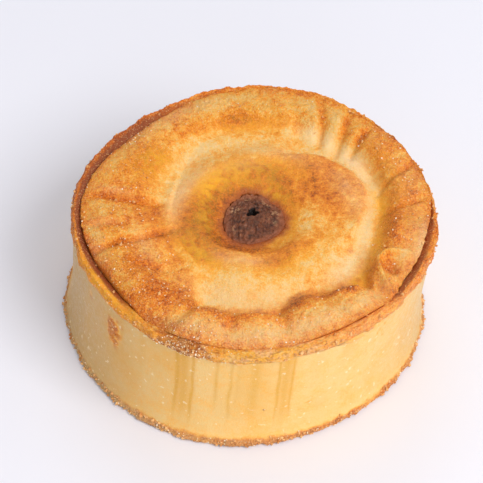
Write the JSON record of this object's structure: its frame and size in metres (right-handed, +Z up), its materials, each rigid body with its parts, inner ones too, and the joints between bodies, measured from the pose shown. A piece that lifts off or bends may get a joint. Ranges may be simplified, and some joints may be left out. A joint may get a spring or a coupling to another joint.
{
  "type": "scotch pie",
  "caption": "Round hand-sized pie with a straight pale pastry case, a crimped golden lid with a steam hole, and minced filling showing in the hole.",
  "frame": {"origin": "middle of the pie's footprint, on the face it stands on", "axes": "+Z up through the lid, -Y towards the side the picture was taken from, +X to the right of the picture"},
  "size_m": [0.096, 0.0944, 0.0383],
  "materials": {
    "pale_crust": "pale baked pastry, slightly greasy",
    "golden_crust": "browned baked pastry",
    "mince": "cooked minced meat, moist"
  },
  "bodies": {
    "root": {"pastry_case": "pale_crust", "pastry_lid": "golden_crust", "meat_filling": "mince"}
  },
  "joints": []
}
